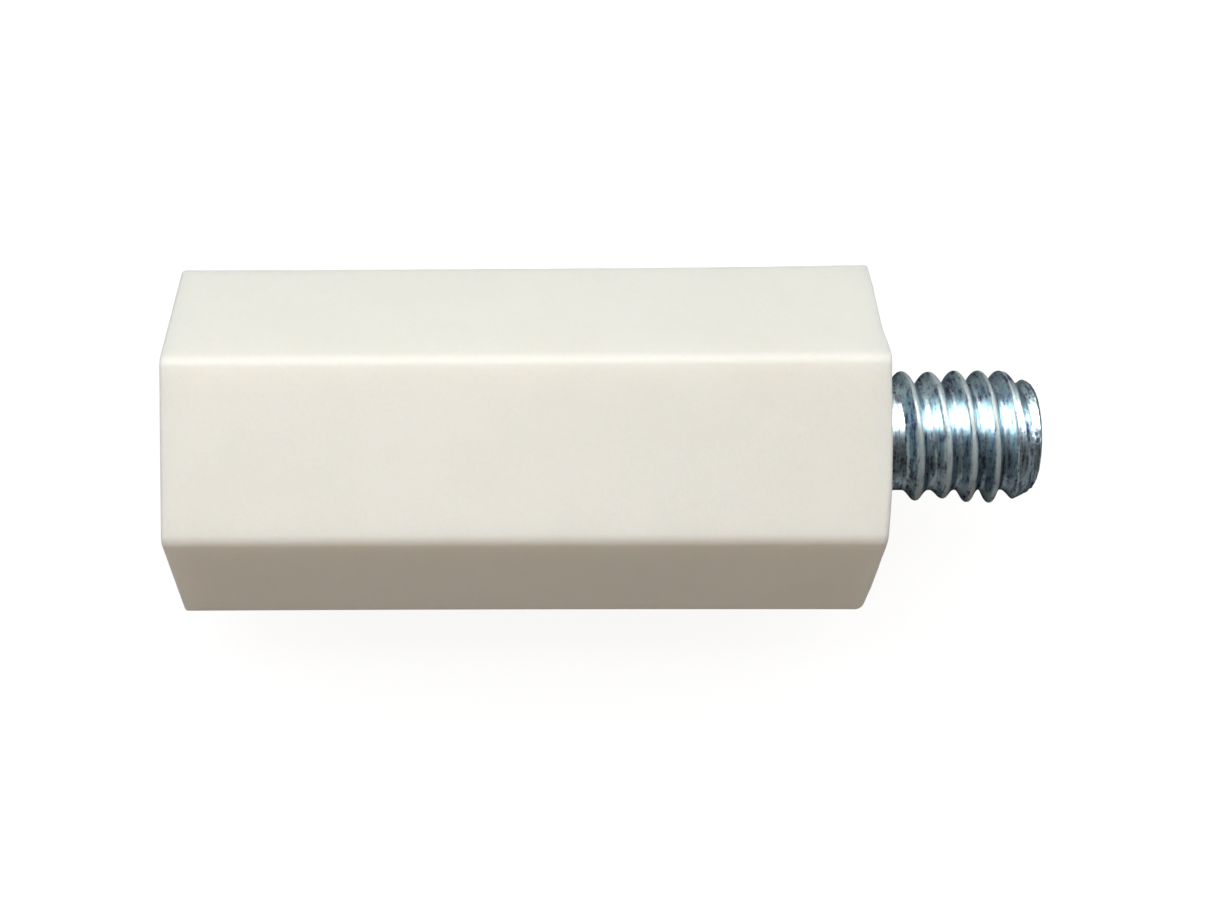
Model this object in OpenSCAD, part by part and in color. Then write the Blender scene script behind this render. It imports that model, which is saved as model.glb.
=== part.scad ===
// Male-female hex standoff: a moulded insulating body with a screw moulded into one end and
// a blind tapped insert moulded into the other.
//
// The origin is the centre of the shoulder that the stud stands out of. +X runs along the axis
// out of the stud, +Z is up, and the body lies on one of its flats.
// The threads are 5/16-18 UNC: the stud is drawn at its crests and the hole at its tap drill.

/* [Body] */
// Distance across the flats of the body
body_across_flats = 17.46; // [16:0.01:30]
// Length of the body between its two end faces
body_length = 39.2; // [34:0.1:90]
// Rounding of the six long ridges
ridge_radius = 0.8; // [0.2:0.1:2]
// Rounding of the edges round the end face that the stud leaves
stud_end_rounding = 0.3; // [0.1:0.05:1.2]
// Rounding of the edges round the end face that holds the insert
insert_end_rounding = 0.15; // [0.05:0.05:0.8]
// How far the corners of the stud end are turned back along the axis
corner_relief = 0.1; // [0.05:0.05:0.8]
// Gap between the stud's crests and the rim of the recess that surrounds its root
root_recess_gap = 0.3; // [0.1:0.05:1]
// Depth of that recess
root_recess_depth = 0.5; // [0.2:0.1:1.5]

/* [Screw] */
// Diameter over the crests of the stud's thread
thread_diameter = 7.7; // [6:0.05:9.5]
// Length of the stud outside the body
stud_length = 9.5; // [5:0.1:30]
// Length of the tapered lead at the stud's tip
stud_lead_length = 1.2; // [0.4:0.1:2]
// How much the lead takes off the radius
stud_lead_depth = 0.55; // [0.2:0.05:0.8]
// Rounding of the edge round the stud's tip
stud_tip_rounding = 0.4; // [0.1:0.05:0.8]
// Diameter of the screw's plain shank inside the body
shank_diameter = 7; // [5:0.1:7.2]
// Length of the shank between the end face and the screw's head
shank_length = 9.6; // [5:0.1:14]
// Distance across the flats of the screw's head
head_across_flats = 12.7; // [10:0.1:13.4]
// Height of the screw's head, with its washer face
head_height = 5.2; // [3:0.1:7]
// Thickness of the round washer face under the head
washer_face_thickness = 0.4; // [0.2:0.1:1]

/* [Insert] */
// Distance across the flats of the bar that the insert is turned from
insert_across_flats = 11.1; // [10.8:0.1:13.4]
// Length of the insert
insert_length = 12.7; // [11:0.1:16]
// Diameter of the insert's round collar, level with the end face
collar_diameter = 10.4; // [9.4:0.1:10.7]
// Length of the collar
collar_length = 1.4; // [0.6:0.1:3]
// Diameter left inside the insert's grip groove
groove_diameter = 9.4; // [9:0.1:10.2]
// Width of the grip groove
groove_width = 2.4; // [1:0.1:4]
// Distance from the end face to the near edge of the grip groove
groove_start = 5; // [4:0.1:6]
// Tap drill diameter of the threaded hole
tap_drill_diameter = 6.53; // [5:0.01:7.4]
// Depth of the drilled hole at its full diameter
tap_drill_depth = 9.6; // [6:0.1:9.8]
// Diameter of the countersink at the mouth of the hole
countersink_diameter = 8.2; // [7.6:0.1:9]

/* [Hidden] */

// Smoothness of the preview
$fn = 96;

// How far a cut runs on past the face that it opens
CUT_MARGIN = 1;
// Angle of a drill's point, across its two lips
DRILL_POINT_ANGLE = 118;
// Slope of the chamfer turned on the corners of a hexagon, from the end face
HEX_CHAMFER_ANGLE = 30;
// A turned chamfer or washer face is this share of the distance across the flats
FACE_SHARE = 0.95;
// Turn between one ridge of a hexagon and the next
HEX_STEP = 60;

// Distance from the axis to the middle of each ridge's rounding
ridge_centre = (body_across_flats / 2 - ridge_radius) / cos(HEX_STEP / 2);
// Distance from the axis to the outside of a rounded ridge
ridge_reach = ridge_centre + ridge_radius;

stud_radius = thread_diameter / 2;
tap_radius = tap_drill_diameter / 2;
countersink_radius = countersink_diameter / 2;
// A 90 degree countersink is as deep as it widens the hole
countersink_depth = countersink_radius - tap_radius;
drill_point_depth = tap_radius / tan(DRILL_POINT_ANGLE / 2);
// Radius of the circle through the corners of a sharp hexagon
function corner_radius(across_flats) = across_flats / 2 / cos(HEX_STEP / 2);

// Turns a shape built along +Z to run along +X, with a flat of its hexagon facing +Z
module along_x() {
    rotate([0, 90, 0]) children();
}

// Hexagon with a flat facing each way along the drawing's X
module hexagon(across_flats) {
    rotate(HEX_STEP / 2) circle(r = corner_radius(across_flats), $fn = 6);
}

// Hexagon whose corners are arcs that run smoothly into its flats
module rounded_hexagon() {
    ridge_angles = [for (turn = [0 : 5]) HEX_STEP / 2 + turn * HEX_STEP];
    // Ends of the straight flats, where the arcs begin
    polygon([
        for (angle = ridge_angles, side = [-1, 1])
            ridge_centre * [cos(angle), sin(angle)]
            + ridge_radius * [cos(angle + side * HEX_STEP / 2), sin(angle + side * HEX_STEP / 2)]
    ]);
    for (angle = ridge_angles)
        rotate(angle) translate([ridge_centre, 0]) circle(r = ridge_radius);
}

// Side view of one pair of flats, with both ends rounded: the stud end is at the top
module flats_profile() {
    half = body_across_flats / 2;
    polygon([
        [-half, insert_end_rounding - body_length],
        [insert_end_rounding - half, -body_length],
        [half - insert_end_rounding, -body_length],
        [half, insert_end_rounding - body_length],
        [half, -stud_end_rounding],
        [half - stud_end_rounding, 0],
        [stud_end_rounding - half, 0],
        [-half, -stud_end_rounding]
    ]);
    for (side = [-1, 1]) {
        translate([side * (half - stud_end_rounding), -stud_end_rounding])
            circle(r = stud_end_rounding);
        translate([side * (half - insert_end_rounding), insert_end_rounding - body_length])
            circle(r = insert_end_rounding);
    }
}

// Turned envelope that takes the corners of the stud end back
module corner_envelope() {
    relief_start = body_across_flats / 2;
    rotate_extrude()
        polygon([
            [0, -body_length - CUT_MARGIN],
            [ridge_reach + CUT_MARGIN, -body_length - CUT_MARGIN],
            [ridge_reach + CUT_MARGIN, -corner_relief * (ridge_reach + CUT_MARGIN - relief_start)
                / (ridge_reach - relief_start)],
            [relief_start, 0],
            [relief_start, CUT_MARGIN],
            [0, CUT_MARGIN]
        ]);
}

// Outside of the moulded body
module body_outside() {
    intersection() {
        translate([0, 0, -body_length]) linear_extrude(body_length) rounded_hexagon();
        intersection_for(turn = [0 : 2])
            rotate([90, 0, turn * HEX_STEP])
                linear_extrude(3 * ridge_reach, center = true) flats_profile();
        corner_envelope();
    }
}

// Hexagon prism from z = 0 up, with its corners turned to a chamfer at the top
module chamfered_hex(across_flats, height) {
    face_radius = FACE_SHARE * across_flats / 2;
    corner = corner_radius(across_flats);
    intersection() {
        linear_extrude(height) hexagon(across_flats);
        rotate_extrude()
            polygon([
                [0, 0],
                [corner + CUT_MARGIN, 0],
                [corner + CUT_MARGIN,
                    height - (corner + CUT_MARGIN - face_radius) * tan(HEX_CHAMFER_ANGLE)],
                [face_radius, height],
                [0, height]
            ]);
    }
}

// Round washer face and chamfered hexagon head, from its bearing face down to z = -head_height
module screw_head() {
    rotate([180, 0, 0]) {
        cylinder(d = FACE_SHARE * head_across_flats, h = washer_face_thickness);
        translate([0, 0, washer_face_thickness])
            chamfered_hex(head_across_flats, head_height - washer_face_thickness);
    }
}

// Half section of the stud outside the body, with a tapered lead and a rounded tip
module stud_section() {
    tip_radius = stud_radius - stud_lead_depth;
    polygon([
        [0, 0],
        [stud_radius, 0],
        [stud_radius, stud_length - stud_lead_length],
        [tip_radius, stud_length - stud_tip_rounding],
        [tip_radius - stud_tip_rounding, stud_length],
        [0, stud_length]
    ]);
    translate([tip_radius - stud_tip_rounding, stud_length - stud_tip_rounding])
        circle(r = stud_tip_rounding);
}

// Everything of the screw that lies inside the body; reach carries the shank on past the end face
module screw_inside(reach) {
    translate([0, 0, -shank_length]) {
        cylinder(d = shank_diameter, h = shank_length + reach);
        screw_head();
    }
}

// Conical recess in the end face, so that nothing beds on the root of the stud's thread
module root_recess() {
    recess_radius = stud_radius + root_recess_gap;
    rotate_extrude()
        polygon([
            [0, -root_recess_depth],
            [shank_diameter / 2, -root_recess_depth],
            [recess_radius, 0],
            [recess_radius, CUT_MARGIN],
            [0, CUT_MARGIN]
        ]);
}

// Outside of the insert, built from its end face back; reach carries the collar on past that face
module insert_outside(reach) {
    translate([0, 0, -body_length]) {
        translate([0, 0, -reach]) cylinder(d = collar_diameter, h = collar_length + reach);
        difference() {
            translate([0, 0, collar_length])
                chamfered_hex(insert_across_flats, insert_length - collar_length);
            grip_groove();
        }
    }
}

// Ring that the grip groove takes out of the insert's hexagon
module grip_groove() {
    corner = corner_radius(insert_across_flats);
    rotate_extrude()
        translate([groove_diameter / 2, groove_start])
            square([corner + CUT_MARGIN - groove_diameter / 2, groove_width]);
}

// Countersunk blind hole with the cone that the drill's point leaves
module tapped_hole() {
    translate([0, 0, -body_length])
        rotate_extrude()
            polygon([
                [0, -CUT_MARGIN],
                [countersink_radius + CUT_MARGIN, -CUT_MARGIN],
                [tap_radius, countersink_depth],
                [tap_radius, tap_drill_depth],
                [0, tap_drill_depth + drill_point_depth]
            ]);
}

module hex_body() {
    color([0.88, 0.87, 0.83])
        along_x()
            difference() {
                body_outside();
                screw_inside(CUT_MARGIN);
                root_recess();
                insert_outside(CUT_MARGIN);
            }
}

module stud_screw() {
    color([0.66, 0.7, 0.74])
        along_x() {
            rotate_extrude() stud_section();
            screw_inside(0);
        }
}

module threaded_insert() {
    color([0.72, 0.73, 0.74])
        along_x()
            difference() {
                insert_outside(0);
                tapped_hole();
            }
}

hex_body();
stud_screw();
threaded_insert();
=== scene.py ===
import math

import bpy
import numpy as np
from mathutils import Euler, Matrix, Vector, noise


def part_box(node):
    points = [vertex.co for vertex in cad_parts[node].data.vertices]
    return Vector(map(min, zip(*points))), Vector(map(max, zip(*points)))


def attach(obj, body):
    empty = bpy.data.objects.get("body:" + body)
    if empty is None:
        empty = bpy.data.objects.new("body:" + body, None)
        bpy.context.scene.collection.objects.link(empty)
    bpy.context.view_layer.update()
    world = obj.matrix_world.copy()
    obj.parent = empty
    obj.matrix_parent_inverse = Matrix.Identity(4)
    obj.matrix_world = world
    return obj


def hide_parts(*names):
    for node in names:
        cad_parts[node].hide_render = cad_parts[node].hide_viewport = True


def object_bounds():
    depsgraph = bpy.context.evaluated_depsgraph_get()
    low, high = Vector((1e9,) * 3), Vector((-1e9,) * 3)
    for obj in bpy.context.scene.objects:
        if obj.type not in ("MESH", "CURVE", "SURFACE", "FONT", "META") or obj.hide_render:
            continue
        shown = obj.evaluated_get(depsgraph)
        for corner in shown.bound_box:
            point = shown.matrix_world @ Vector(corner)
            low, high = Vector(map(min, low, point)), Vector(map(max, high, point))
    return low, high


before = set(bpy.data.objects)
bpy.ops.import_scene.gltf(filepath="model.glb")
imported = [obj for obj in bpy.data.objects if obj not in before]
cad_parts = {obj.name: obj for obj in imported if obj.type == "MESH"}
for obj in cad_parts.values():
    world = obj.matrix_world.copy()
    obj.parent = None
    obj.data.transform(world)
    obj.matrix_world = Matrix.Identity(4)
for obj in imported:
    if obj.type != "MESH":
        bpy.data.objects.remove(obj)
CAD_LOW, CAD_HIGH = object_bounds()

MM = 0.001
ROOT = "root"

# ---------------------------------------------------------------- camera
PHOTO_WIDTH = 1214
PHOTO_HEIGHT = 911
SENSOR_WIDTH = 36.0
FOCAL_PX = 2082.0                       # the lens and the middle of its view, in photo pixels
PRINCIPAL_X = 555.0
PRINCIPAL_Y = 410.0
CAMERA_PLACE = Vector((-21.16, 7.80, 119.27)) * MM
CAMERA_TURN = (-2.92, -1.55, -0.14)     # degrees round X, Y and Z, from looking straight down
NEAREST_SEEN = 1 * MM
FURTHEST_SEEN = 20


def make_camera():
    """The photograph's view: from straight above, over the middle of the body."""
    data = bpy.data.cameras.new("camera")
    data.sensor_width = SENSOR_WIDTH
    data.lens = FOCAL_PX * SENSOR_WIDTH / PHOTO_WIDTH
    data.shift_x = (PHOTO_WIDTH / 2 - PRINCIPAL_X) / PHOTO_WIDTH
    data.shift_y = (PRINCIPAL_Y - PHOTO_HEIGHT / 2) / PHOTO_WIDTH
    data.clip_start = NEAREST_SEEN
    data.clip_end = FURTHEST_SEEN
    camera = bpy.data.objects.new("camera", data)
    camera.location = CAMERA_PLACE
    camera.rotation_euler = Euler([math.radians(a) for a in CAMERA_TURN], "XYZ")
    bpy.context.scene.collection.objects.link(camera)
    bpy.context.scene.camera = camera


# ---------------------------------------------------------------- sizes
# From the frame, and then those of the solids' sizes that the frame doesn't give
BODY_LOW, BODY_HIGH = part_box("hex_body")
SCREW_LOW, SCREW_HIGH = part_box("stud_screw")
_, INSERT_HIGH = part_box("threaded_insert")

FLAT = BODY_HIGH.z                      # from the axis to a flat
RIDGE_REACH = BODY_HIGH.y               # from the axis to the top of a ridge
LEFT_END = BODY_LOW.x
STUD_TIP = SCREW_HIGH.x
HEAD_BACK = SCREW_LOW.x
INSERT_BACK = INSERT_HIGH.x
HEAD_FLAT = SCREW_HIGH.z
INSERT_FLAT = INSERT_HIGH.z

RIDGE_RADIUS = 0.8 * MM                 # rounding of the body's six ridges
METAL_RIDGE_RADIUS = 0.2 * MM           # rounding of the ridges of the insert and the screw's head
INSERT_END_ROUNDING = 0.2 * MM

PITCH = 25.4 / 18 * MM                  # 18 turns an inch
STUD_RADIUS = 3.82 * MM                 # over the crests, just inside the solid's
STUD_ROOT_RADIUS = 3.07 * MM
CREST_AT_TOP = 2.13 * MM                # where a crest passes +Y
SHANK_RADIUS = 3.5 * MM
SHANK_LENGTH = 9.6 * MM
WASHER_FACE = 0.4 * MM
WASHER_SHARE = 0.95                     # the washer face, as a share of the head's flats
HEAD_CHAMFER = 0.6 * MM
RECESS_RADIUS = 4.15 * MM               # the recess round the stud's root
RECESS_DEPTH = 0.5 * MM

COLLAR_RADIUS = 5.2 * MM
COLLAR_LENGTH = 1.4 * MM
COLLAR_CHAMFER = 0.1 * MM
GROOVE_RADIUS = 4.7 * MM
GROOVE_START = 5.0 * MM
GROOVE_WIDTH = 2.4 * MM
TAP_RADIUS = 3.265 * MM
TAP_DEPTH = 9.6 * MM
TAPPED_ROOT_RADIUS = 3.95 * MM
TAPPED_LENGTH = 8.2 * MM
COUNTERSINK_RADIUS = 4.1 * MM
DRILL_POINT_ANGLE = 118
DRILL_POINT = TAP_RADIUS / math.tan(math.radians(DRILL_POINT_ANGLE / 2))
SEAM = 0.03 * MM                        # hairline between the plastic and the metal

RIDGES = 6
RIDGE_STEP = 2 * math.pi / RIDGES


# ---------------------------------------------------------------- mesh tools
SHARP_ANGLE = 40                        # edges that turn by more than this stay sharp
END_RING = 0.5                          # size of the ring between a closed end's rim and its middle


def even_angles(count):
    return np.arange(count) * 2 * math.pi / count


def quarter_turn(steps):
    """The angles of a rounded edge, from 0 to 90 degrees."""
    return np.radians(np.linspace(0, 90, steps + 1))


def hexagon_angles(flat, ridge_radius, arc_steps, flat_steps):
    """Angles round the axis, closer together where the ridges turn."""
    half_flat = (flat - ridge_radius) * math.tan(RIDGE_STEP / 2)
    arc = RIDGE_STEP / 2 - math.atan2(half_flat, flat)
    on_arc = np.linspace(-arc, arc, arc_steps + 1)
    on_flat = np.linspace(arc, RIDGE_STEP - arc, flat_steps + 1)[1:-1]
    one = np.concatenate([on_arc, on_flat])
    return np.concatenate([one + k * RIDGE_STEP for k in range(RIDGES)])


def hexagon(angles, flat, ridge_radius):
    """Distance from the axis to a hexagon with rounded ridges, at each angle."""
    off_ridge = (angles + RIDGE_STEP / 2) % RIDGE_STEP - RIDGE_STEP / 2
    on_flat = flat / np.cos(RIDGE_STEP / 2 - np.abs(off_ridge))
    centre = (flat - ridge_radius) / math.cos(RIDGE_STEP / 2)
    under = np.maximum(ridge_radius**2 - (centre * np.sin(off_ridge)) ** 2, 0)
    on_arc = centre * np.cos(off_ridge) + np.sqrt(under)
    arc_end = np.arctan2(centre * math.sin(RIDGE_STEP / 2), flat)
    return np.where(RIDGE_STEP / 2 - np.abs(off_ridge) < arc_end, on_flat, on_arc)


def station(x, radius):
    """One ring of a lathed form: where it is along the axis and how far out, at each angle."""
    return x, radius


def lathe(name, angles, stations, fields=None):
    """A closed mesh from rings round the X axis, with a point in the middle at either end.

    Angles start at +Y and go towards +Z. Each of the fields has a value for every ring's points.
    """
    count = len(angles)
    xs = np.array([np.broadcast_to(s[0], count) for s in stations])
    rs = np.array([np.broadcast_to(s[1], count) for s in stations])
    points = np.stack([xs, rs * np.cos(angles), rs * np.sin(angles)], axis=-1).reshape(-1, 3)
    first = np.array([xs[0].mean(), 0, 0])
    last = np.array([xs[-1].mean(), 0, 0])
    points = np.vstack([points, first, last])
    faces = []
    for i in range(len(stations) - 1):
        for j in range(count):
            k = (j + 1) % count
            faces.append((i * count + j, (i + 1) * count + j, (i + 1) * count + k, i * count + k))
    start = len(stations) * count
    end = start + 1
    base = (len(stations) - 1) * count
    for j in range(count):
        k = (j + 1) % count
        faces.append((start, j, k))
        faces.append((end, base + k, base + j))
    mesh = bpy.data.meshes.new(name)
    mesh.from_pydata(points.tolist(), [], faces)
    mesh.validate()
    for label, values in (fields or {}).items():
        attribute = mesh.attributes.new(label, "FLOAT", "POINT")
        flat_values = np.append(np.asarray(values).reshape(-1), [0.0, 0.0])
        attribute.data.foreach_set("value", flat_values.astype(np.float32))
    piece = bpy.data.objects.new(name, mesh)
    bpy.context.scene.collection.objects.link(piece)
    return piece


def shade(piece):
    mesh = piece.data
    mesh.shade_smooth()
    mesh.set_sharp_from_angle(angle=math.radians(SHARP_ANGLE))


# ---------------------------------------------------------------- body
RIGHT_SIZE = 0.995                      # the section at the stud's end, as a share of the solid's
LEFT_SIZE = 0.9786                      # the section at the insert's end, smaller by mould draft
WAIST = 0.0035                          # how much slimmer the middle is than a straight taper
TOP_FLARE = 0.06 * MM                   # how far the +Y ridge flares out at the stud's end,
FLARE_LENGTH = 14 * MM                  # from how far back,
FLARE_NARROWNESS = 6                    # and how closely it keeps to the ridge
SMALLEST_RIDGE = 0.15 * MM              # rounding left on a ridge where the ends turn in
END_SKEW = 0.0025                       # slope of the insert's end face
MOUTH_DEPTH = 0.25 * MM                 # how far in the moulding leaves the insert's collar,
MOUTH_FLARE = 0.08 * MM                 # and how far it turns away from it
# How far the stud's end sinks at each ridge, from +Y through +Z,
# and a quarter and three quarters along each edge
CORNER_DIPS = np.array([0.0, 0.14, 0.27, 0.05, 0.12, 0.05]) * MM
EDGE_DIPS = np.array([0.06, 0.24, 0.08, 0.08, 0.155, 0.03, 0.06, 0.11, 0.11, 0.11, 0.11, 0.06]) * MM
DIP_POWER = 4                           # how soon the dips fade away from the rim
SHARPEST_EDGE = 0.12 * MM               # rounding of the stud's end, on the +Y side
BLUNTEST_EDGE = 0.6 * MM                # and on the -Y side
SIDE_RINGS = 108
SIDE_START = 0.5 * MM                   # from the insert's end to the first of them
SIDE_STOP = 1 * MM                      # from the last of them to the stud's end
# Rings across the two end faces, as shares of the way out from the middle's hole to the rim
INSERT_FACE_RINGS = (0.25, 0.5, 0.75, 0.95)
STUD_FACE_RINGS = (0.95, 0.8, 0.6, 0.4, 0.2, 0.05, 0)


def body_size(x):
    """Size of the section along the body, as a share of the solid's."""
    t = (x - LEFT_END) / -LEFT_END
    return LEFT_SIZE + (RIGHT_SIZE - LEFT_SIZE) * t - WAIST * 4 * t * (1 - t)


def body_outline(angles, x, inset=0.0):
    """Section of the body: a hexagon with rounded ridges, moved in by inset."""
    ridge_radius = np.maximum(RIDGE_RADIUS - inset, SMALLEST_RIDGE)
    outline = hexagon(angles, FLAT * body_size(x) - inset, ridge_radius)
    share = np.clip((x + FLARE_LENGTH) / FLARE_LENGTH, 0, 1)
    flare = TOP_FLARE * share**2 * np.clip(np.cos(angles), 0, 1) ** FLARE_NARROWNESS
    return np.minimum(outline + flare, RIDGE_REACH - inset)


def stud_end(angles, radius):
    """Where the stud's end face lies: its edges dip a little, and some corners more."""
    ridges = np.arange(RIDGES) * RIDGE_STEP
    corner = np.interp(angles, ridges, CORNER_DIPS, period=2 * math.pi)
    places = (np.arange(2 * RIDGES) + 0.5) * RIDGE_STEP / 2
    edge = np.interp(angles, places, EDGE_DIPS, period=2 * math.pi)
    share = np.clip((radius - FLAT) / (RIDGE_REACH - FLAT), 0, 1)
    middle = edge * np.minimum(radius / FLAT, 1) ** DIP_POWER
    return -(middle + (corner - middle) * share)


def insert_end(angles, radius):
    """Where the insert's end face lies: it isn't quite square."""
    return LEFT_END + END_SKEW * (radius * np.cos(angles) + RIDGE_REACH)


def insert_pocket(angles, gap):
    """The insert's outside, from its back to its collar."""
    bar = hexagon(angles, INSERT_FLAT + gap, METAL_RIDGE_RADIUS)
    groove_far = LEFT_END + GROOVE_START + GROOVE_WIDTH
    groove_near = LEFT_END + GROOVE_START
    collar_back = LEFT_END + COLLAR_LENGTH
    return [
        station(INSERT_BACK + gap, bar * END_RING),
        station(INSERT_BACK + gap, bar),
        station(groove_far - gap, bar),
        station(groove_far - gap, GROOVE_RADIUS + gap),
        station(groove_near + gap, GROOVE_RADIUS + gap),
        station(groove_near + gap, bar),
        station(collar_back + gap, bar),
        station(collar_back + gap, COLLAR_RADIUS + gap),
    ]


def screw_pocket(angles, gap):
    """The screw's outside, from its shank to the back of its head."""
    head = hexagon(angles, HEAD_FLAT + gap, METAL_RIDGE_RADIUS)
    washer = WASHER_SHARE * (HEAD_FLAT + gap)
    seat = -SHANK_LENGTH
    return [
        station(seat + gap, SHANK_RADIUS + gap),
        station(seat + gap, washer),
        station(seat - WASHER_FACE + gap, washer),
        station(seat - WASHER_FACE + gap, head),
        station(HEAD_BACK - gap, head),
        station(HEAD_BACK - gap, head * END_RING),
    ]


def insert_face(angles):
    """The insert's end of the body, from the collar out over the rounded rim."""
    mouth = COLLAR_RADIUS + SEAM
    rings = [
        station(LEFT_END + MOUTH_DEPTH, mouth),
        station(insert_end(angles, mouth), mouth + MOUTH_FLARE),
    ]
    rim = body_outline(angles, LEFT_END, INSERT_END_ROUNDING)
    for share in INSERT_FACE_RINGS:
        radius = mouth + (rim - mouth) * share
        rings.append(station(insert_end(angles, radius), radius))
    for turn in quarter_turn(steps=4):
        radius = body_outline(angles, LEFT_END, INSERT_END_ROUNDING * (1 - math.sin(turn)))
        x = insert_end(angles, radius) + INSERT_END_ROUNDING * (1 - math.cos(turn))
        rings.append(station(x, radius))
    return rings


def stud_face(angles):
    """The stud's end of the body, from the rounded rim in to the recess round the stud."""
    rounding = SHARPEST_EDGE + (BLUNTEST_EDGE - SHARPEST_EDGE) * ((1 - np.cos(angles)) / 2) ** 2
    rings = []
    for turn in quarter_turn(steps=8):
        radius = body_outline(angles, 0, rounding * (1 - math.cos(turn)))
        x = stud_end(angles, radius) - rounding * (1 - math.sin(turn))
        rings.append(station(x, radius))
    rim = body_outline(angles, 0, rounding)
    for share in STUD_FACE_RINGS:
        radius = RECESS_RADIUS + (rim - RECESS_RADIUS) * share
        rings.append(station(stud_end(angles, radius), radius))
    rings.append(station(-RECESS_DEPTH, SHANK_RADIUS + SEAM))
    return rings


def make_body():
    angles = hexagon_angles(FLAT, RIDGE_RADIUS, arc_steps=8, flat_steps=22)
    stations = insert_pocket(angles, SEAM) + insert_face(angles)
    for x in np.linspace(LEFT_END + SIDE_START, -SIDE_STOP, SIDE_RINGS):
        stations.append(station(x, body_outline(angles, x)))
    stations += stud_face(angles) + screw_pocket(angles, SEAM)
    body = lathe("moulded_body", angles, stations)
    shade(body)
    body.data.materials.append(moulding())
    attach(body, ROOT)
    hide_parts("hex_body")


# ---------------------------------------------------------------- threads
CREST_HALF = 0.13 * MM                  # half the width of a crest
ROOT_FROM_CREST = 0.62 * MM             # from the middle of a crest to the bottom of the root
ROOT_CURVE = 1.35                       # how round the root is, 1 being a straight flank
THREAD_ROUNDING = 0.1 * MM              # how far the thread's form is smoothed to each side,
THREAD_SAMPLES = 9                      # by the mean of this many places
# The pale line: wear on each crest, and a painted highlight carried down the flank on its +X side
WEAR_AND_PAINTED_HIGHLIGHT_START = -0.12 * MM              # where the pale line starts across a crest,
WEAR_AND_PAINTED_HIGHLIGHT_EDGE = 0.05 * MM                # how softly,
WEAR_AND_PAINTED_HIGHLIGHT_FULL = 0.1 * MM                 # where it starts to fade,
WEAR_AND_PAINTED_HIGHLIGHT_REACH = 0.3 * MM                # and where it ends


def crest_share(along):
    """How near the surface is to a crest: 0 in the root and 1 on the crest."""
    total = 0
    for offset in np.linspace(-THREAD_ROUNDING, THREAD_ROUNDING, THREAD_SAMPLES):
        off_crest = np.abs((along + offset + PITCH / 2) % PITCH - PITCH / 2)
        down = np.clip((off_crest - CREST_HALF) / (ROOT_FROM_CREST - CREST_HALF), 0, 1)
        total = total + (1 - down) ** ROOT_CURVE
    return total / THREAD_SAMPLES


def pale_wear_and_painted_highlight(along):
    """Where the thread is pale: the die's wear on the crest, and a painted highlight that fades
    down one flank.
    """
    past_crest = (along + PITCH / 2) % PITCH - PITCH / 2
    start = np.clip((past_crest - WEAR_AND_PAINTED_HIGHLIGHT_START) / WEAR_AND_PAINTED_HIGHLIGHT_EDGE, 0, 1)
    end = np.clip((WEAR_AND_PAINTED_HIGHLIGHT_REACH - past_crest) / (WEAR_AND_PAINTED_HIGHLIGHT_REACH - WEAR_AND_PAINTED_HIGHLIGHT_FULL), 0, 1)
    return start * end


# ---------------------------------------------------------------- stud
STUD_OFFSET = 0.08 * MM                 # how far the stud stands off centre, towards +Y
STUD_SIDES = 156
STUD_RINGS = 290
THREAD_RUN_IN = 0.4 * MM                # over which the thread grows out of the shank
UNDER_RECESS = 0.1 * MM                 # from the recess's floor to the shank's last ring
CUT_AWAY = 0.05 * MM                    # a crest cut back by this much is no longer pale
# The tip's lead and rounding: radius by distance from the tip
TIP_FROM_END = np.array([1.9, 1.24, 0.7, 0.22, 0.05, 0.0]) * MM
TIP_RADIUS = np.array([3.83, 3.66, 3.42, 3.17, 2.96, 2.65]) * MM
TIP_DISH = 0.2 * MM                     # depth of the hollow in the tip,
DISH_RINGS = (0.9, 0.6, 0.3)            # and its rings, as shares of its radius
TIP_CRINKLE = 0.07 * MM                 # roughness of the lead, where the bar was sheared,
TIP_CRINKLE_SIZE = 0.14 * MM            # the size of its lumps,
TIP_CRINKLE_REACH = 1.1 * MM            # and how far it reaches from the tip
TIP_CRINKLE_CUT = 0.5                   # how much more it cuts in than it stands out
# Pitch error of the rolled thread, by turn
LEAD_TURNS = (0, 0.5, 1, 1.5, 3, 3.75, 4, 4.5, 5)
LEAD_ERRORS = np.array([-0.115, -0.05, 0.04, 0.12, 0.1, -0.06, -0.05, 0.1, 0.3]) * MM
# How full the rolled crest is, by turn
CREST_TURNS = (-0.5, -0.25, 0.2, 0.5, 1, 1.5, 2, 2.5, 3, 4, 4.5, 5)
CREST_HEIGHTS = (0, 0.9, 1, 0.8, 0.91, 0.65, 1, 0.94, 1, 1, 0.8, 0.8)


def stud_thread(x, angles):
    """Height of the thread, from 0 to 1, and its share of pale crest wear and painted highlight."""
    error = np.interp((x - CREST_AT_TOP) / PITCH, LEAD_TURNS, LEAD_ERRORS)
    along = x - CREST_AT_TOP - error - PITCH * angles / (2 * math.pi)
    turn = np.round(along / PITCH) + angles / (2 * math.pi)
    height = np.interp(turn, CREST_TURNS, CREST_HEIGHTS)
    return crest_share(along) * height, pale_wear_and_painted_highlight(along) * height


def screw_head(angles):
    """The screw inside the body, from the back of its head along its shank."""
    head = hexagon(angles, HEAD_FLAT, METAL_RIDGE_RADIUS)
    washer = HEAD_FLAT * WASHER_SHARE
    return [
        station(HEAD_BACK, head * END_RING),
        station(HEAD_BACK, np.minimum(head, washer)),
        station(HEAD_BACK + HEAD_CHAMFER, head),
        station(-SHANK_LENGTH - WASHER_FACE, head),
        station(-SHANK_LENGTH - WASHER_FACE, washer),
        station(-SHANK_LENGTH, washer),
        station(-SHANK_LENGTH, SHANK_RADIUS),
        station(-RECESS_DEPTH - UNDER_RECESS, SHANK_RADIUS),
    ]


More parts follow.
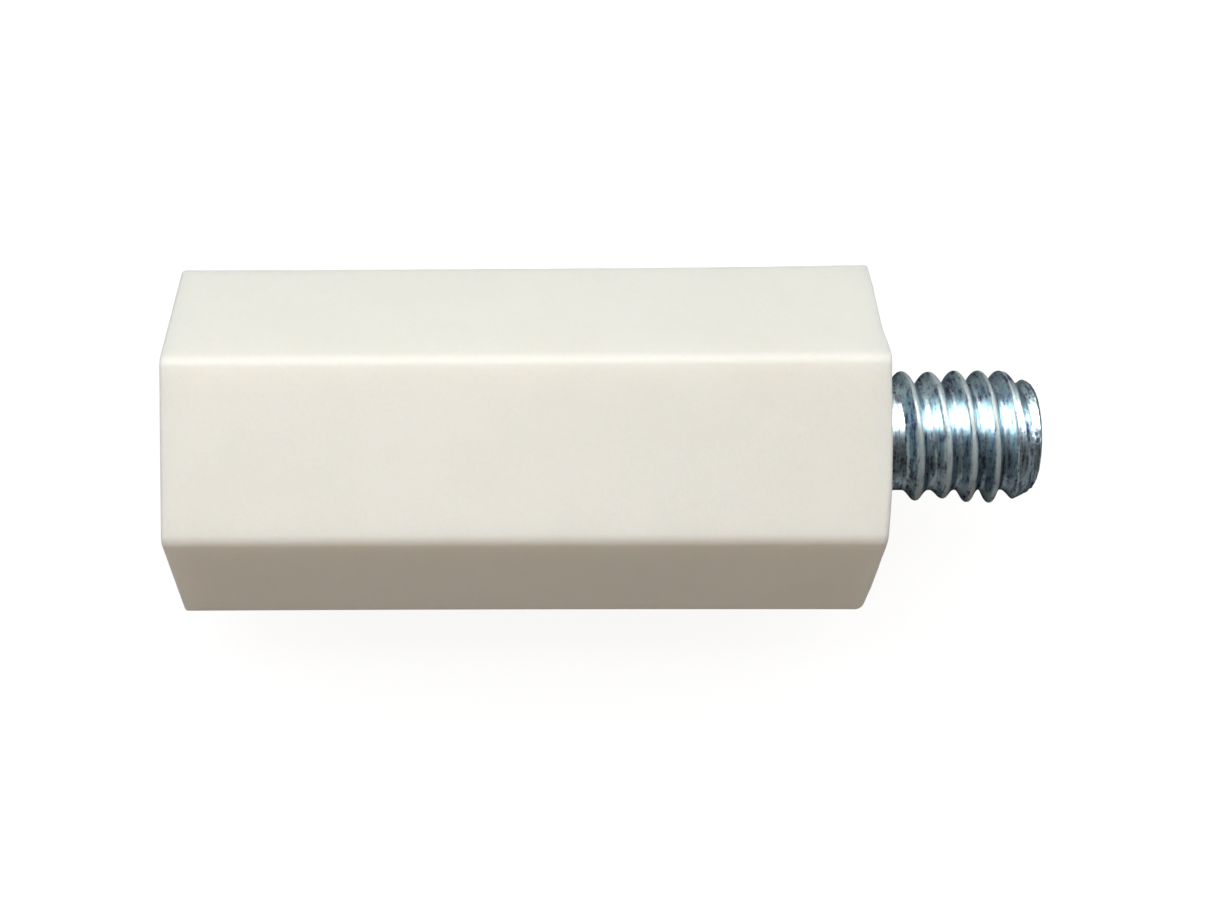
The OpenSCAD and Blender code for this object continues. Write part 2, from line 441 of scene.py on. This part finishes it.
def roughen_tip(stud):
    """Crinkles the lead's surface, as where a bar has been sheared off."""
    for vertex in stud.data.vertices:
        near_tip = min(max(1 - (STUD_TIP - vertex.co.x) / TIP_CRINKLE_REACH, 0), 1)
        crinkle = noise.noise(vertex.co / TIP_CRINKLE_SIZE) - TIP_CRINKLE_CUT
        outward = Vector((0, vertex.co.y, vertex.co.z)).normalized()
        vertex.co += outward * TIP_CRINKLE * near_tip * crinkle


def shift_stud(stud):
    """Moves what stands out of the body off centre."""
    for vertex in stud.data.vertices:
        vertex.co.y += STUD_OFFSET * min(max(vertex.co.x / RECESS_DEPTH + 1, 0), 1)


def make_stud():
    angles = even_angles(STUD_SIDES)
    stations = screw_head(angles)
    wear_and_painted_highlight_share = [np.zeros(len(angles)) for _ in stations]
    for x in np.linspace(-RECESS_DEPTH, STUD_TIP, STUD_RINGS):
        share, painted_highlight_and_wear = stud_thread(x, angles)
        radius = STUD_ROOT_RADIUS + (STUD_RADIUS - STUD_ROOT_RADIUS) * share
        fade = np.clip((x + RECESS_DEPTH) / THREAD_RUN_IN, 0, 1)
        radius = SHANK_RADIUS + (radius - SHANK_RADIUS) * fade
        limit = np.interp(STUD_TIP - x, TIP_FROM_END[::-1], TIP_RADIUS[::-1])
        stations.append(station(x, np.minimum(radius, limit)))
        # The pale crest wear and painted highlight, lost where the tip cuts the crest back
        wear_and_painted_highlight_share.append(painted_highlight_and_wear * np.clip(1 - (radius - limit) / CUT_AWAY, 0, 1))
    for share in DISH_RINGS:
        stations.append(station(STUD_TIP - TIP_DISH * (1 - share), TIP_RADIUS[-1] * share))
        wear_and_painted_highlight_share.append(np.zeros(len(angles)))
    stud = lathe("threaded_stud", angles, stations, {"wear_and_painted_highlight_share": wear_and_painted_highlight_share})
    roughen_tip(stud)
    shift_stud(stud)
    shade(stud)
    stud.data.materials.append(zinc())
    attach(stud, ROOT)
    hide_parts("stud_screw")


# ---------------------------------------------------------------- insert
INSERT_SIDES = 120
TAP_RING_START = 0.05 * MM
TAP_RING_STEP = 0.06 * MM
TAP_RUN_OUT = 1.2 * MM                  # over which the tapped thread fades at its bottom
COUNTERSINK_LIP = 0.3 * MM              # from the countersink to the next ring of the face
DRILL_TIP = 0.1                         # size of the last ring of the drill's point


def make_insert():
    angles = even_angles(INSERT_SIDES)
    stations = insert_pocket(angles, 0)
    stations.append(station(LEFT_END + COLLAR_CHAMFER, COLLAR_RADIUS))
    stations.append(station(LEFT_END, COLLAR_RADIUS - COLLAR_CHAMFER))
    stations.append(station(LEFT_END, COUNTERSINK_RADIUS + COUNTERSINK_LIP))
    stations.append(station(LEFT_END, COUNTERSINK_RADIUS))
    wear_and_painted_highlight_share = [np.zeros(len(angles)) for _ in stations]
    for depth in np.arange(TAP_RING_START, TAPPED_LENGTH, TAP_RING_STEP):
        cone = COUNTERSINK_RADIUS - depth
        along = depth - PITCH * angles / (2 * math.pi)
        share = crest_share(along)
        fade = np.clip((TAPPED_LENGTH - depth) / TAP_RUN_OUT, 0, 1)
        wall = TAP_RADIUS + (TAPPED_ROOT_RADIUS - TAP_RADIUS) * (1 - share) * fade
        stations.append(station(LEFT_END + depth, np.maximum(cone, wall)))
        # The tapped thread's pale crest wear and painted highlight
        wear_and_painted_highlight_share.append(pale_wear_and_painted_highlight(along))
    drill_tip = LEFT_END + TAP_DEPTH + DRILL_POINT * (1 - DRILL_TIP)
    stations.append(station(LEFT_END + TAP_DEPTH, TAP_RADIUS))
    stations.append(station(drill_tip, TAP_RADIUS * DRILL_TIP))
    wear_and_painted_highlight_share += [np.zeros(len(angles))] * 2
    insert = lathe("tapped_insert", angles, stations, {"wear_and_painted_highlight_share": wear_and_painted_highlight_share})
    shade(insert)
    insert.data.materials.append(zinc())
    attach(insert, ROOT)
    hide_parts("threaded_insert")


# ---------------------------------------------------------------- node tools
def new_material(name):
    material = bpy.data.materials.new(name)
    material.use_nodes = True
    nodes = material.node_tree.nodes
    return material, nodes, material.node_tree.links, nodes["Principled BSDF"]


def set_inputs(shader, values):
    """Sets what is the same all over the surface, on the shader's own sockets."""
    for name, value in values.items():
        shader.inputs[name].default_value = value


def noise_texture(nodes, links, vector, scale, detail=3.0):
    texture = nodes.new("ShaderNodeTexNoise")
    texture.inputs["Scale"].default_value = scale
    texture.inputs["Detail"].default_value = detail
    links.new(vector, texture.inputs["Vector"])
    return texture.outputs["Fac"]


def ramp(nodes, links, value, stops):
    """A colour ramp with the stops (position, colour)."""
    node = nodes.new("ShaderNodeValToRGB")
    elements = node.color_ramp.elements
    while len(elements) < len(stops):
        elements.new(0.5)
    for element, (position, colour) in zip(elements, stops):
        element.position = position
        element.color = (*colour, 1)
    links.new(value, node.inputs["Fac"])
    return node.outputs["Color"]


def map_range(nodes, links, value, low, high, to_low=0.0, to_high=1.0):
    """Maps low to high onto to_low to to_high, with soft ends."""
    node = nodes.new("ShaderNodeMapRange")
    node.inputs["From Min"].default_value = low
    node.inputs["From Max"].default_value = high
    node.inputs["To Min"].default_value = to_low
    node.inputs["To Max"].default_value = to_high
    node.interpolation_type = "SMOOTHSTEP"
    links.new(value, node.inputs["Value"])
    return node.outputs["Result"]


def mixed(nodes, links, operation, first, second):
    """Two values put together by a Math node."""
    node = nodes.new("ShaderNodeMath")
    node.operation = operation
    links.new(first, node.inputs[0])
    links.new(second, node.inputs[1])
    return node.outputs["Value"]


def add_bump(nodes, links, shader, height, strength, distance):
    node = nodes.new("ShaderNodeBump")
    node.inputs["Strength"].default_value = strength
    node.inputs["Distance"].default_value = distance
    links.new(height, node.inputs["Height"])
    links.new(node.outputs["Normal"], shader.inputs["Normal"])


# ---------------------------------------------------------------- materials
# Noise scales are in lumps a metre
CLOUD_SCALE = 220                       # clouds in the moulding's colour
GRAIN_SCALE = 5000                      # its fine grain
CLOUD_RANGE = (0.6, 1.4)                # what of the two noises together makes the tones
WAVE_SCALE = 700                        # slow waves of its surface,
WAVE_RANGE = (0.3, 0.7)
WAVE_SHARE = 2.0                        # and their height against the grain
MOULDING_BUMP = {"strength": 0.3, "distance": 0.02 * MM}
MOULDING_TONES = [
    (0.35, (0.757, 0.750, 0.690)),
    (0.65, (0.771, 0.763, 0.706)),
]
MOULDING_FINISH = {
    "Roughness": 0.5,
    "Specular IOR Level": 0.25,
    "Subsurface Weight": 0.6,
    "Subsurface Radius": (1, 0.8, 0.6),
    "Subsurface Scale": 3 * MM,
}

BLOTCH_SCALE = 1300                     # dark blotches of the zinc
FLECK_SCALE = 5000                      # flecks in them
STREAK_SCALE = 7000                     # streaks round the thread,
STREAK_STRETCH = 0.12                   # whose scale across the axis is this share of that
PLATING_RANGE = (0.38, 1.02)            # what of the three together makes the tones
ZINC_TONES = [
    (0.16, (0.15, 0.12, 0.21)),
    (0.50, (0.44, 0.57, 0.67)),
    (0.85, (0.67, 0.83, 0.89)),
]
ZINC_ROUGHNESS = 0.3
ZINC_BUMP = {"strength": 0.35, "distance": 0.045 * MM}
ZINC_FINISH = {"Specular Tint": (0.1, 0.1, 0.1, 1)}
# The pale crests: wear, and a painted highlight down the flank beside them
WEAR_AND_PAINTED_HIGHLIGHT_TONE = (0.34, 0.38, 0.38, 1)
WEAR_AND_PAINTED_HIGHLIGHT_ROUGHNESS = 0.5
WEAR_AND_PAINTED_HIGHLIGHT_METALLIC = 0.3
PATCH_RANGE = (0.35, 0.6)               # the blotches make the pale crests patchy, down to this share
LEAST_WEAR_AND_PAINTED_HIGHLIGHT = 0.6                        # down to this share


def moulding():
    """Thermoset polyester: off-white, faintly clouded, finely grained and a little see-through."""
    material, nodes, links, shader = new_material("moulded_polyester")
    coords = nodes.new("ShaderNodeTexCoord").outputs["Object"]
    clouds = noise_texture(nodes, links, coords, CLOUD_SCALE)
    grain = noise_texture(nodes, links, coords, GRAIN_SCALE)
    cloudy = map_range(nodes, links, mixed(nodes, links, "ADD", clouds, grain), *CLOUD_RANGE)
    links.new(ramp(nodes, links, cloudy, MOULDING_TONES), shader.inputs["Base Color"])
    slow = noise_texture(nodes, links, coords, WAVE_SCALE, detail=1)
    waves = map_range(nodes, links, slow, *WAVE_RANGE, to_high=WAVE_SHARE)
    surface = mixed(nodes, links, "ADD", waves, grain)
    add_bump(nodes, links, shader, surface, **MOULDING_BUMP)
    set_inputs(shader, MOULDING_FINISH)
    return material


def zinc():
    """Blue zinc plating, mottled and streaked by the rolling, with pale crests: the die's wear, and
    a painted highlight down one flank.
    """
    material, nodes, links, shader = new_material("blue_zinc")
    coords = nodes.new("ShaderNodeTexCoord").outputs["Object"]
    along = nodes.new("ShaderNodeMapping")
    along.inputs["Scale"].default_value = (1, STREAK_STRETCH, STREAK_STRETCH)
    links.new(coords, along.inputs["Vector"])
    blotches = noise_texture(nodes, links, coords, BLOTCH_SCALE)
    streaks = noise_texture(nodes, links, along.outputs["Vector"], STREAK_SCALE)
    flecks = noise_texture(nodes, links, coords, FLECK_SCALE)
    mottled = mixed(nodes, links, "MULTIPLY", blotches, flecks)
    plating = mixed(nodes, links, "ADD", mottled, streaks)
    tone = ramp(nodes, links, map_range(nodes, links, plating, *PLATING_RANGE), ZINC_TONES)
    # Paler where the mesh marks crest wear and the painted highlight on the flank
    painted_highlight_and_wear = nodes.new("ShaderNodeAttribute")
    painted_highlight_and_wear.attribute_name = "wear_and_painted_highlight_share"
    patchy = map_range(nodes, links, blotches, *PATCH_RANGE, to_low=LEAST_WEAR_AND_PAINTED_HIGHLIGHT)
    wear_and_painted_highlight_share = mixed(nodes, links, "MULTIPLY", painted_highlight_and_wear.outputs["Fac"], patchy)
    pale = nodes.new("ShaderNodeMixRGB")
    pale.inputs["Color2"].default_value = WEAR_AND_PAINTED_HIGHLIGHT_TONE
    links.new(wear_and_painted_highlight_share, pale.inputs["Fac"])
    links.new(tone, pale.inputs["Color1"])
    links.new(pale.outputs["Color"], shader.inputs["Base Color"])
    roughness = map_range(nodes, links, wear_and_painted_highlight_share, 0, 1, ZINC_ROUGHNESS, WEAR_AND_PAINTED_HIGHLIGHT_ROUGHNESS)
    links.new(roughness, shader.inputs["Roughness"])
    metallic = map_range(nodes, links, wear_and_painted_highlight_share, 0, 1, 1, WEAR_AND_PAINTED_HIGHLIGHT_METALLIC)
    links.new(metallic, shader.inputs["Metallic"])
    add_bump(nodes, links, shader, plating, **ZINC_BUMP)
    set_inputs(shader, ZINC_FINISH)
    return material


# ---------------------------------------------------------------- stage and light
FLOOR_RADIUS = 2.2
FLOOR_SIDES = 96
COVE_HEIGHT = 0.5
COVE_BEND = 0.35
COVE_STEPS = 12
FLOOR_ALBEDO = 0.2
FLOOR_GLOW = 0.88                       # what the camera sees on top of the lamps' light
GLOW_IN_GLOSS = 0.12                    # how much of the floor's glow the metal mirrors,
FAR_IN_GLOSS = 0.05                     # and how much of it further away
POOL_START = 0.05                       # where the glow in the gloss starts to fade,
POOL_END = 0.15                         # and where it is down to that
WORLD_TONE = (0.06, 0.058, 0.054, 1)
WHITE = (1, 1, 1, 1)


def floor_material():
    """A matt floor whose glow whitens what the camera and the gloss see, and lights nothing."""
    material, nodes, links, shader = new_material("studio_floor")
    nodes.remove(shader)
    matt = nodes.new("ShaderNodeBsdfDiffuse")
    matt.inputs["Color"].default_value = (FLOOR_ALBEDO, FLOOR_ALBEDO, FLOOR_ALBEDO, 1)
    glow = nodes.new("ShaderNodeEmission")
    path = nodes.new("ShaderNodeLightPath")
    from_middle = nodes.new("ShaderNodeVectorMath")
    from_middle.operation = "DISTANCE"
    from_middle.inputs[1].default_value = ((CAD_LOW.x + CAD_HIGH.x) / 2, 0, -FLAT)
    links.new(nodes.new("ShaderNodeNewGeometry").outputs["Position"], from_middle.inputs[0])
    pool = map_range(nodes, links, from_middle.outputs["Value"], POOL_START, POOL_END,
                     FLOOR_GLOW * GLOW_IN_GLOSS, FLOOR_GLOW * FAR_IN_GLOSS)
    glossy = path.outputs["Is Glossy Ray"]
    mirrored = mixed(nodes, links, "ADD", glossy, path.outputs["Is Transmission Ray"])
    in_gloss = mixed(nodes, links, "MULTIPLY", mirrored, pool)
    in_view = map_range(nodes, links, path.outputs["Is Camera Ray"], 0, 1, 0, FLOOR_GLOW)
    strength = mixed(nodes, links, "ADD", in_view, in_gloss)
    links.new(strength, glow.inputs["Strength"])
    both = nodes.new("ShaderNodeAddShader")
    links.new(matt.outputs["BSDF"], both.inputs[0])
    links.new(glow.outputs["Emission"], both.inputs[1])
    links.new(both.outputs["Shader"], nodes["Material Output"].inputs["Surface"])
    material.cycles.emission_sampling = "NONE"
    return material


def make_floor():
    """A round pale floor that curves up into a low wall."""
    profile = [(FLOOR_RADIUS - COVE_BEND, 0.0)]
    for turn in quarter_turn(COVE_STEPS)[1:]:
        radius = FLOOR_RADIUS - COVE_BEND * (1 - math.sin(turn))
        profile.append((radius, COVE_BEND * (1 - math.cos(turn))))
    profile.append((FLOOR_RADIUS, COVE_HEIGHT))
    points = []
    for radius, height in profile:
        for angle in even_angles(FLOOR_SIDES):
            points.append((radius * math.cos(angle), radius * math.sin(angle), height - FLAT))
    faces = []
    for i in range(len(profile) - 1):
        inner = i * FLOOR_SIDES
        outer = inner + FLOOR_SIDES
        for j in range(FLOOR_SIDES):
            k = (j + 1) % FLOOR_SIDES
            faces.append((inner + j, outer + j, outer + k, inner + k))
    faces.append(tuple(range(FLOOR_SIDES)))
    mesh = bpy.data.meshes.new("floor")
    mesh.from_pydata(points, [], faces)
    mesh.shade_smooth()
    floor = bpy.data.objects.new("floor", mesh)
    floor.data.materials.append(floor_material())
    bpy.context.scene.collection.objects.link(floor)


def soft_lamp(name, angle, distance, size, radiance, x=0.0, colour=(1, 1, 1),
              diffuse=True, gloss=True):
    """A rectangular soft box over the part, at an angle in degrees from straight up towards +Y.

    It is size = (along X, across) metres, x metres along from the part's middle, and looks as
    bright as radiance says, 1 being white. It lights the matt share of a surface only if
    diffuse is true, and is seen in its gloss only if gloss is true.
    """
    data = bpy.data.lights.new(name, "AREA")
    data.shape = "RECTANGLE"
    data.size, data.size_y = size
    data.energy = radiance * math.pi * data.size * data.size_y
    data.color = colour
    lamp = bpy.data.objects.new(name, data)
    tilt = math.radians(angle)
    place = Vector((x, distance * math.sin(tilt), distance * math.cos(tilt)))
    middle = Matrix.Translation((CAD_LOW + CAD_HIGH) / 2)
    lamp.matrix_world = middle @ Matrix.Translation(place) @ Matrix.Rotation(-tilt, 4, "X")
    lamp.visible_camera = False
    lamp.visible_diffuse = diffuse
    lamp.visible_glossy = gloss
    bpy.context.scene.collection.objects.link(lamp)


def make_lights():
    # Two soft boxes light the part from +Y
    soft_lamp("key", angle=40, distance=0.6, size=(2.0, 0.46), radiance=2.2, colour=(1, 1.01, 1.03))
    soft_lamp("outer", angle=72, distance=0.7, size=(1.6, 0.3), radiance=1.2, colour=(1, 1, 0.85))
    # Two narrow strips are only seen in the metal, as its light band
    soft_lamp("glint", angle=43, distance=0.3, size=(2.4, 0.13), radiance=8.5, diffuse=False)
    soft_lamp("glow", angle=62, distance=0.3, size=(2.4, 0.2), radiance=0.6, diffuse=False)
    # Two fill the moulding from close above and from -Y, and leave the metal's gloss alone
    soft_lamp("overhead", angle=10, distance=0.065, size=(0.04, 0.04), radiance=1.5, x=-0.016,
              colour=(1, 1, 1.05), gloss=False)
    soft_lamp("fill", angle=-50, distance=0.7, size=(1.1, 0.35), radiance=1.6, x=-0.1,
              colour=(1, 0.84, 0.7), gloss=False)


def make_world():
    """A dim even light all round, and white where the camera looks past the floor."""
    world = bpy.data.worlds.new("world")
    world.use_nodes = True
    nodes, links = world.node_tree.nodes, world.node_tree.links
    nodes["Background"].inputs["Color"].default_value = WORLD_TONE
    white = nodes.new("ShaderNodeBackground")
    white.inputs["Color"].default_value = WHITE
    either = nodes.new("ShaderNodeMixShader")
    links.new(nodes.new("ShaderNodeLightPath").outputs["Is Camera Ray"], either.inputs["Fac"])
    links.new(nodes["Background"].outputs["Background"], either.inputs[1])
    links.new(white.outputs["Background"], either.inputs[2])
    links.new(either.outputs["Shader"], nodes["World Output"].inputs["Surface"])
    bpy.context.scene.world = world


bpy.context.scene.view_settings.view_transform = "Standard"
make_camera()
make_floor()
make_lights()
make_world()
make_body()
make_stud()
make_insert()
